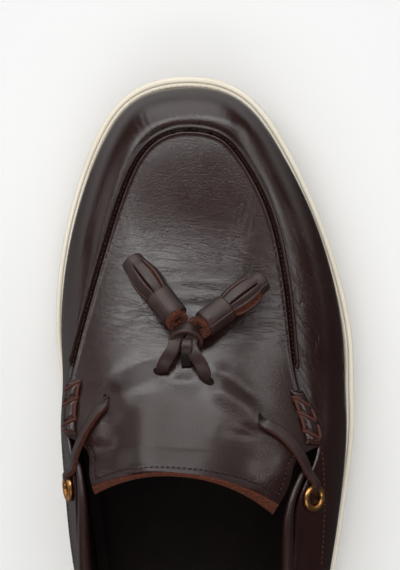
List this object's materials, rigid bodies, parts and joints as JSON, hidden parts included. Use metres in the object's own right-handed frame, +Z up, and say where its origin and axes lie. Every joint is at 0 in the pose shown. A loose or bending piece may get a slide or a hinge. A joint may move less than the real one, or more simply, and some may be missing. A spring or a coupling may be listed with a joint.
{
  "type": "tassel loafer",
  "caption": "Men's right tassel loafer in dark brown leather with a raised apron seam, boat-shoe side laces, brass eyelets and a cream rubber cup sole",
  "frame": {"origin": "the middle of the sole's box, on the floor", "axes": "+Y is the toe, +X the outer side of the right foot, +Z up"},
  "size_m": [0.109, 0.3, 0.08],
  "materials": {
    "leather": "smooth, semi-gloss",
    "strap_leather": "oiled, with raw red-brown cut edges",
    "lining": "matt",
    "rubber": "matt",
    "brass": "antique"
  },
  "bodies": {
    "root": {"apron_piping": "leather", "collar_roll": "leather", "eyelet_inner": "brass", "eyelet_outer": "brass", "insole": "lining", "lace_inner": "strap_leather", "lace_knot": "strap_leather", "lace_outer": "strap_leather", "pucker_inner": "leather", "pucker_outer": "leather", "sole": "rubber", "tassel_inner": "strap_leather", "tassel_outer": "strap_leather", "upper": "leather"}
  },
  "joints": []
}
